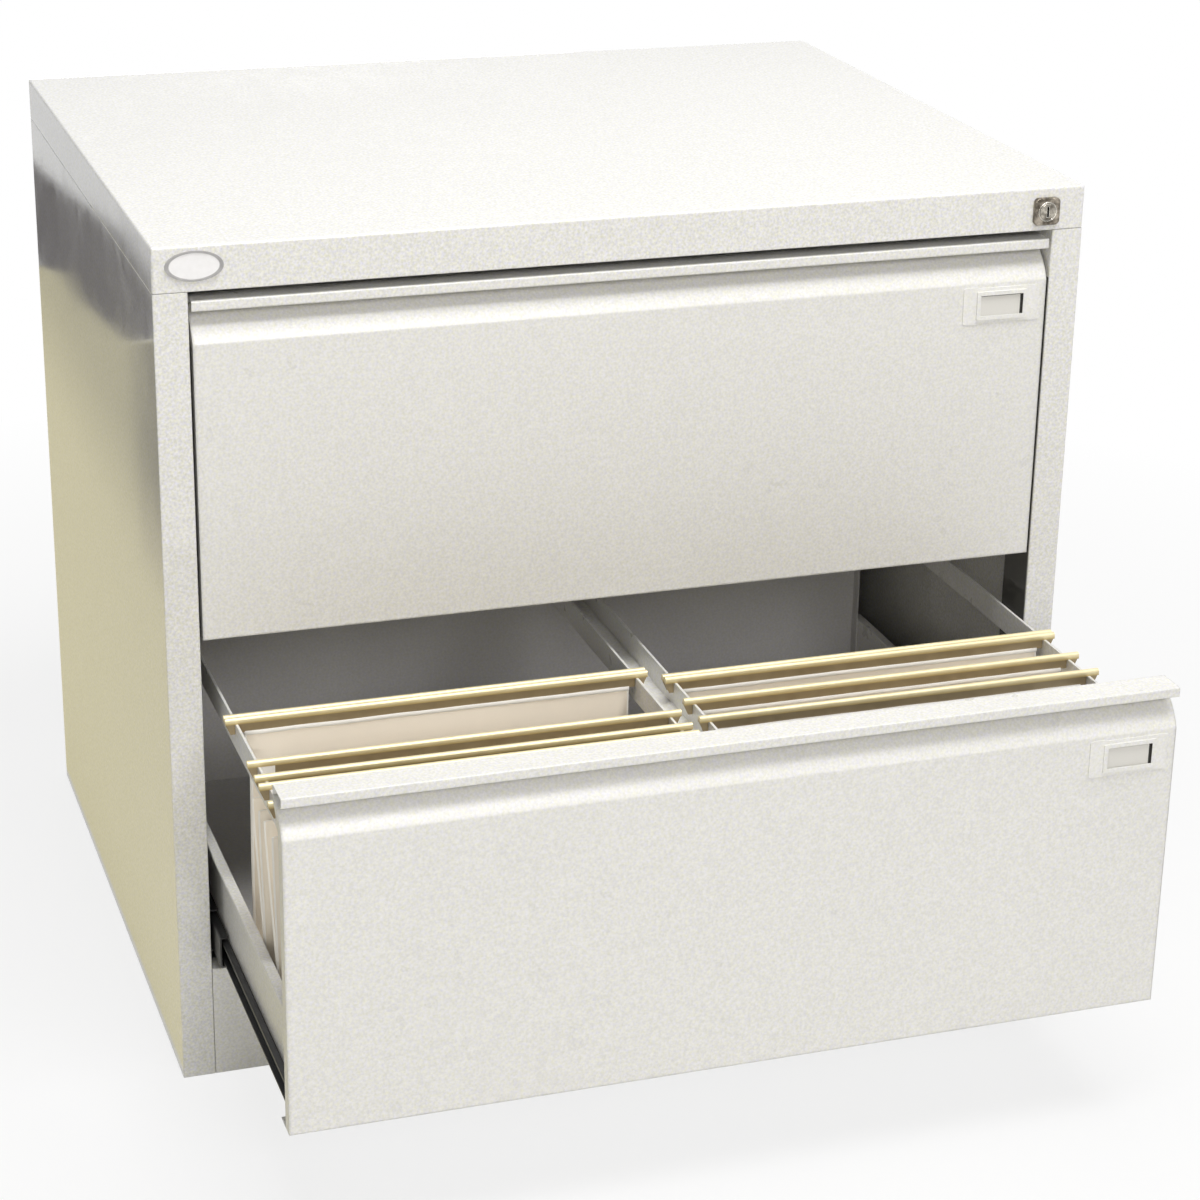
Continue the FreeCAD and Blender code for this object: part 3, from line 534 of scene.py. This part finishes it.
def paper(name, colour, fibre):
    """Card or paper: fibres in the colour and a soft tooth in the surface."""
    material, tree, shader = new_material(name)
    place = own_place(tree)
    pulp = clouds(tree, place, *paper_pulp)
    tooth = clouds(tree, place, *paper_tooth)
    both = maths(tree, "MULTIPLY_ADD", tooth, 0.5, maths(tree, "MULTIPLY", pulp, 0.5))
    dark = [part * (1 - fibre) for part in colour]
    pale = [min(1.0, part * (1 + fibre)) for part in colour]
    bump = add_node(tree, "ShaderNodeBump", inputs={
        "Height": tooth, "Strength": tooth_bump, "Distance": tooth_depth})
    tree.links.new(mixed(tree, both, (*dark, 1), (*pale, 1)), shader.inputs["Base Color"])
    tree.links.new(bump.outputs[0], shader.inputs["Normal"])
    tree.links.new(rough_between(tree, pulp, 0.72, 0.87), shader.inputs["Roughness"])
    shader.inputs["Specular IOR Level"].default_value = paper_shine
    return material


label_paint = painted_steel("label_paint", (0.78, 0.77, 0.735), gloss=0.22, peel=0.06,
                            edge=0.0004, speckle=0.05)
label_paper = paper("label_card", (0.70, 0.685, 0.64), 0.04)
# Near-black sheet that paints the shade in the holder's slot.
slot_shade_sheet = paper("label_slot_shade", (0.035, 0.033, 0.03), 0.3)
for drawer in ("upper", "lower"):
    dress([f"{drawer}_label_holder"], label_paint)
    face_y = front_faces[drawer]
    low = window_heights[drawer] - window_half_height
    high = window_heights[drawer] + window_half_height
    slot_mesh = rounded_sheet(f"{drawer}_label_slot_shade", slot_x, (face_y - slot_thickness, face_y),
                              (low - slot_beyond_window, high + slot_beyond_window),
                              corner=0.0006, edge=0.00005)
    add_piece(f"{drawer}_label_slot_shade", slot_mesh, slot_shade_sheet, f"{drawer}_drawer")
    card_mesh = rounded_sheet(f"{drawer}_blank_card", (card_left, window_right - card_slip),
                              (face_y - card_face, face_y - slot_thickness),
                              (low - card_below_window, high - card_top_slip),
                              corner=0.0005, edge=0.0001)
    card = add_piece(f"{drawer}_blank_card", card_mesh, label_paper, f"{drawer}_drawer")
    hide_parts(f"{drawer}_label_card")


# Badge plate: a blank oval of pearl white lacquer in a thin raised rim of grey metal, stuck on the
# fascia.
pearl_shades = ((0.80, 0.79, 0.78, 1), (0.92, 0.91, 0.91, 1))
rim_shades = ((0.30, 0.29, 0.29, 1), (0.50, 0.49, 0.48, 1))
rim_start = (0.84, 0.88)
rim_metal = 0.5
badge_clouds = (160.0, 3.0)
badge_low, badge_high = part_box("badge_plate")
badge_centre = [(low + high) / 2 for low, high in zip(badge_low, badge_high)]
badge_half = [(high - low) / 2 for low, high in zip(badge_low, badge_high)]


def badge_material():
    """Pearl inside and metal on the rim, told apart by how far out a point of the oval is."""
    material, tree, shader = new_material("badge_metal")
    place = own_place(tree)
    middle = add_node(tree, "ShaderNodeVectorMath", {"operation": "SUBTRACT"},
                      {0: place, 1: badge_centre})
    squeezed = add_node(tree, "ShaderNodeVectorMath", {"operation": "MULTIPLY"},
                        {0: middle.outputs[0], 1: (1 / badge_half[0], 0.0, 1 / badge_half[2])})
    out = add_node(tree, "ShaderNodeVectorMath", {"operation": "LENGTH"},
                   {0: squeezed.outputs[0]}).outputs["Value"]
    rim = ramp(tree, out, *rim_start)
    cloud = clouds(tree, place, *badge_clouds)
    pearl = mixed(tree, cloud, *pearl_shades)
    metal = mixed(tree, cloud, *rim_shades)
    tree.links.new(mixed(tree, rim, pearl, metal), shader.inputs["Base Color"])
    tree.links.new(maths(tree, "MULTIPLY", rim, rim_metal), shader.inputs["Metallic"])
    tree.links.new(rough_between(tree, cloud, 0.25, 0.40), shader.inputs["Roughness"])
    return material


dress(["badge_plate"], badge_material())


# Lock: die-cast housing with a square escutcheon, a turning plug and a thin collar round it, all in
# dark chrome that is mottled, with edges made bright by wear and by a painted highlight. A nut
# behind the fascia holds it.
chrome_clouds = (170.0, 3.0)
chrome_mottle = (0.38, 0.66)
bright_edge = (0.93, 0.92, 0.88, 1)
bright_edge_radius = 0.0009
lock_bend = 0.0006
collar_radius = 0.0078
collar_wire = 0.0005
collar_flatness = 0.8
collar_behind_plug_face = 0.0008
collar_around = 40
collar_tube = 10


def lock_chrome_material(name, dark, pale):
    material, tree, shader = new_material(name)
    cloud = clouds(tree, own_place(tree), *chrome_clouds)
    mottle = mixed(tree, ramp(tree, cloud, *chrome_mottle), (*dark, 1), (*pale, 1))
    # Bright edges: wear and a painted highlight.
    wear_and_highlight = place_group(tree, edge_wear_and_highlight, Radius=bright_edge_radius)["Mask"]
    bend = add_node(tree, "ShaderNodeBevel", {"samples": bend_samples}, {"Radius": lock_bend})
    tree.links.new(mixed(tree, wear_and_highlight, mottle, bright_edge), shader.inputs["Base Color"])
    tree.links.new(rough_between(tree, cloud, 0.1, 0.3), shader.inputs["Roughness"])
    tree.links.new(bend.outputs[0], shader.inputs["Normal"])
    shader.inputs["Metallic"].default_value = 0.9
    return material


def collar_mesh(name, centre):
    """A plain turned ring that faces the front, a little flattened from front to back."""
    points = []
    faces = []
    for turn in range(collar_around):
        angle = 2 * math.pi * turn / collar_around
        for step in range(collar_tube):
            roll = 2 * math.pi * step / collar_tube
            reach = collar_radius + collar_wire * math.cos(roll)
            depth = collar_wire * collar_flatness * math.sin(roll)
            points.append((centre[0] + reach * math.cos(angle), centre[1] - depth,
                           centre[2] + reach * math.sin(angle)))
            here = turn * collar_tube
            after = (turn + 1) % collar_around * collar_tube
            along = (step + 1) % collar_tube
            faces.append((here + step, here + along, after + along, after + step))
    mesh = bpy.data.meshes.new(name)
    mesh.from_pydata(points, [], faces)
    return mesh


lock_chrome = lock_chrome_material("lock_chrome", (0.10, 0.085, 0.065), (0.44, 0.39, 0.32))
plug_chrome = lock_chrome_material("plug_chrome", (0.14, 0.125, 0.10), (0.62, 0.58, 0.50))
collar_chrome = lock_chrome_material("collar_chrome", (0.30, 0.28, 0.24), (0.75, 0.72, 0.65))
dress(["lock_housing"], lock_chrome)
dress(["lock_plug"], plug_chrome)
plug_low, plug_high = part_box("lock_plug")
collar_centre = ((plug_low[0] + plug_high[0]) / 2, plug_low[1] + collar_behind_plug_face,
                 (plug_low[2] + plug_high[2]) / 2)
add_piece("lock_collar", collar_mesh("lock_collar", collar_centre), collar_chrome, "cabinet",
          smooth=True)


# Hanging files: each has two steel carrier bars with a rolled bead along the top and hooks at the
# ends, lacquered gold, and a folded pocket of buff card. White hems grip the bars' lower edges, and
# white tape binds the pocket's open sides. Below the rails the left row's pockets differ in width.
# The bars' colours paint light and shade: the bead's paler crown is a painted highlight, and the
# darker lower bead and brown web are painted shade.
crown_highlight_colours = ((0.78, 0.67, 0.38, 1), (0.93, 0.83, 0.55, 1))
bead_shaded_colour = (0.52, 0.40, 0.17, 1)
web_shaded_colours = ((0.29, 0.225, 0.125, 1), (0.43, 0.345, 0.21, 1))
lacquer_clouds = (70.0, 4.0)
lacquer_metal = 0.3
bar_top = 0.345
web_below_top = 0.0062
bead_below_top = 0.0046
crown_below_top = 0.0022
card_top = 0.3325
rail_clear_z = 0.3155
rail_step = 0.001
knee_z = 0.2024
base_z = 0.1129
foot_half = 0.0021
foot_fold = 0.0009
foot_rise = 0.001
card_thickness = 0.0006
card_half_width = 0.1587
card_columns = 25
rows_at_rail = 3
rows_to_knee = 13
rows_to_foot = 6
card_bow = 0.0012
card_bow_at_knee = 0.02
card_ripple = 0.0009
ripple_across = 9
ripple_down = 14
ripple_apart = 40
ripple_start_below_top = 60
reach_at_knee = 0.7
full_reach_above_knee = 0.1
tape_width = 0.0014
tape_thickness = 0.0013
tape_outer_share = 0.6
hem_height = 0.0036
hem_thickness = 0.0026
hem_side_start = 0.0012
hem_corner_height = 0.0003
hem_corner_share = 0.6
hem_crown_height = 0.0005
hem_crown_share = 0.5
hem_lift = 0.0004
hem_lift_across = 30
hem_lift_apart = 90
hem_lift_height = 1.7
row_middle = 0.1785
front_plane = front_faces["lower"]

# Row (-1 left, 1 right), distances of the two bars behind the front, and how much further out the
# pocket's left side stands below the rails
files = {
    "back_left_file": (-1, 0.2296, 0.2236, -0.0045),
    "middle_left_file": (-1, 0.1415, 0.1153, 0.0128),
    "front_left_file": (-1, 0.1000, 0.0683, 0.0128),
    "back_right_file": (1, 0.2113, 0.2053, 0.0),
    "front_right_file": (1, 0.1603, 0.1243, 0.0),
}


def gold_lacquer_material():
    """Gold on the rolled bead, paler on its crown as a painted highlight, and darker on the lower
    bead and brown on the flat web as painted shade.
    """
    material, tree, shader = new_material("bar_gold")
    place = own_place(tree)
    height = add_node(tree, "ShaderNodeSeparateXYZ", inputs={0: place}).outputs["Z"]
    bead = ramp(tree, height, bar_top - web_below_top, bar_top - bead_below_top)
    crown = ramp(tree, height, bar_top - bead_below_top, bar_top - crown_below_top)
    cloud = clouds(tree, place, *lacquer_clouds)
    gold = mixed(tree, crown, bead_shaded_colour, mixed(tree, cloud, *crown_highlight_colours))
    shaded_web = mixed(tree, cloud, *web_shaded_colours)
    tree.links.new(mixed(tree, bead, shaded_web, gold), shader.inputs["Base Color"])
    tree.links.new(rough_between(tree, cloud, 0.25, 0.45), shader.inputs["Roughness"])
    shader.inputs["Metallic"].default_value = lacquer_metal
    return material


def steps(start, end, count):
    """Even steps from start to end, both included."""
    return [start + (end - start) * step / count for step in range(count + 1)]


def pocket_section(back, front):
    """Depth, height and share of the way up of the folded card, from one bar round to the other."""
    half = (back - front) / 2
    at_rail = steps(card_top, rail_clear_z, rows_at_rail)
    below_rail = steps(rail_clear_z - rail_step, knee_z, rows_to_knee)
    down = []
    for z in at_rail + below_rail:
        share = (z - knee_z) / (card_top - knee_z)
        down.append((-(foot_half + (half - foot_half) * share), z, share))
    to_foot = steps(knee_z, base_z + foot_rise, rows_to_foot)[1:]
    down += [(-foot_half, z, 0.0) for z in to_foot]
    fold = foot_half - foot_fold
    base = [(-fold, base_z, 0.0), (fold, base_z, 0.0)]
    return down + base + [(-offset, z, share) for offset, z, share in reversed(down)]


def pocket_sides(row, reach, z):
    """Left and right edge of the card at one height. The left one stands out below the rails."""
    out = 0.0
    if z < rail_clear_z:
        rise = min(1.0, max(0.0, (z - knee_z) / full_reach_above_knee))
        out = reach * (reach_at_knee + (1 - reach_at_knee) * rise)
    return row * row_middle - card_half_width - out, row * row_middle + card_half_width


def file_pocket_mesh(name, row, back, front, reach):
    """Card pocket as one folded sheet that bows and ripples a little."""
    section = pocket_section(back, front)
    middle = front_plane + (back + front) / 2
    points = []
    for offset, z, share in section:
        left, right = pocket_sides(row, reach, z)
        for x, across in zip(steps(left, right, card_columns - 1), steps(0, 1, card_columns - 1)):
            arch = math.sin(math.pi * across)
            bow = arch * math.sin(math.pi * min(1.0, share + card_bow_at_knee)) * card_bow
            free = min(1.0, ripple_start_below_top * (card_top - z)) * arch
            wave = Vector((x * ripple_across, z * ripple_down, back * ripple_apart))
            ripple = noise.noise(wave) * card_ripple * free
            points.append((x, middle + offset + math.copysign(bow, offset) + ripple, z))
    faces = []
    for line in range(len(section) - 1):
        for column in range(card_columns - 1):
            first = line * card_columns + column
            faces.append((first, first + 1, first + card_columns + 1, first + card_columns))
    mesh = bpy.data.meshes.new(name)
    mesh.from_pydata(points, [], faces)
    return mesh


def side_tape_mesh(name, row, back, front, reach):
    """Tape folded round the card along both open sides of the pocket."""
    section = pocket_section(back, front)
    middle = front_plane + (back + front) / 2
    half = tape_thickness / 2
    outer = half * tape_outer_share
    points = []
    faces = []
    for side, inward in ((0, 1), (1, -1)):
        first = len(points)
        for offset, z, _ in section:
            edge = pocket_sides(row, reach, z)[side]
            inner = edge + tape_width * inward
            for x, depth in ((edge, -outer), (edge, outer), (inner, half), (inner, -half)):
                points.append((x, middle + offset + depth, z))
        for line in range(len(section) - 1):
            for corner in range(4):
                low = first + line * 4
                after = (corner + 1) % 4
                faces.append((low + corner, low + after, low + 4 + after, low + 4 + corner))
        faces.append(tuple(first + corner for corner in range(4)))
        faces.append(tuple(len(points) - 1 - corner for corner in range(4)))
    mesh = bpy.data.meshes.new(name)
    mesh.from_pydata(points, [], faces)
    shape = bmesh.new()
    shape.from_mesh(mesh)
    bmesh.ops.recalc_face_normals(shape, faces=shape.faces)
    shape.to_mesh(mesh)
    shape.free()
    return mesh


def hem_mesh(name, row, depth):
    """The card's upper edge, folded double round the lower edge of a bar's web."""
    half = hem_thickness / 2
    corner = half * hem_corner_share
    crown = half * hem_crown_share
    low = card_top - hem_height
    section = [(-half, card_top), (-half, low + hem_side_start),
               (-corner, low + hem_corner_height), (0, low), (corner, low + hem_corner_height),
               (half, low + hem_side_start), (half, card_top),
               (crown, card_top + hem_crown_height), (-crown, card_top + hem_crown_height)]
    columns = [row * row_middle + share * card_half_width
               for share in steps(-1, 1, card_columns - 1)]
    points = []
    for offset, z in section:
        for x in columns:
            wave = Vector((x * hem_lift_across, depth * hem_lift_apart, hem_lift_height))
            points.append((x, front_plane + depth + offset, z + noise.noise(wave) * hem_lift))
    count = len(section)
    faces = []
    for line in range(count):
        low_row = line * card_columns
        high_row = (line + 1) % count * card_columns
        for column in range(card_columns - 1):
            faces.append((low_row + column, high_row + column,
                          high_row + column + 1, low_row + column + 1))
    faces.append([line * card_columns for line in range(count)][::-1])
    faces.append([line * card_columns + card_columns - 1 for line in range(count)])
    mesh = bpy.data.meshes.new(name)
    mesh.from_pydata(points, [], faces)
    return mesh


bar_gold = gold_lacquer_material()
buff_card = paper("file_card", (0.95, 0.87, 0.74), 0.05)
hem_card = paper("file_hem", (0.94, 0.92, 0.87), 0.04)
for name, (row, back, front, reach) in files.items():
    dress([f"{name}_bars"], bar_gold)
    pocket_mesh = file_pocket_mesh(f"{name}_card", row, back, front, reach)
    pocket = add_piece(f"{name}_card", pocket_mesh, buff_card, name, smooth=True)
    sheet = pocket.modifiers.new("card_thickness", "SOLIDIFY")
    sheet.thickness = card_thickness
    sheet.offset = 0.0
    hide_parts(f"{name}_pocket")
    tape_mesh = side_tape_mesh(f"{name}_tape", row, back, front, reach)
    add_piece(f"{name}_tape", tape_mesh, hem_card, name)
    for end, depth in (("back", back), ("front", front)):
        add_piece(f"{name}_{end}_hem", hem_mesh(f"{name}_{end}_hem", row, depth), hem_card, name,
                  smooth=True)


# Index tab: a small clip of white plastic on the web of one carrier bar, beside its hook, with a
# blank slip of paper in it.
tab_x = (-0.3422, -0.3314)
tab_z = (0.3328, 0.3405)
tab_face = 0.0022
tab_back = 0.0008
bar_y = front_plane + files["middle_left_file"][1]
tab_mesh = rounded_sheet("index_tab", tab_x, (bar_y - tab_face, bar_y - tab_back), tab_z,
                         corner=0.0012, edge=0.0003)
add_piece("index_tab", tab_mesh, hem_card, "middle_left_file")
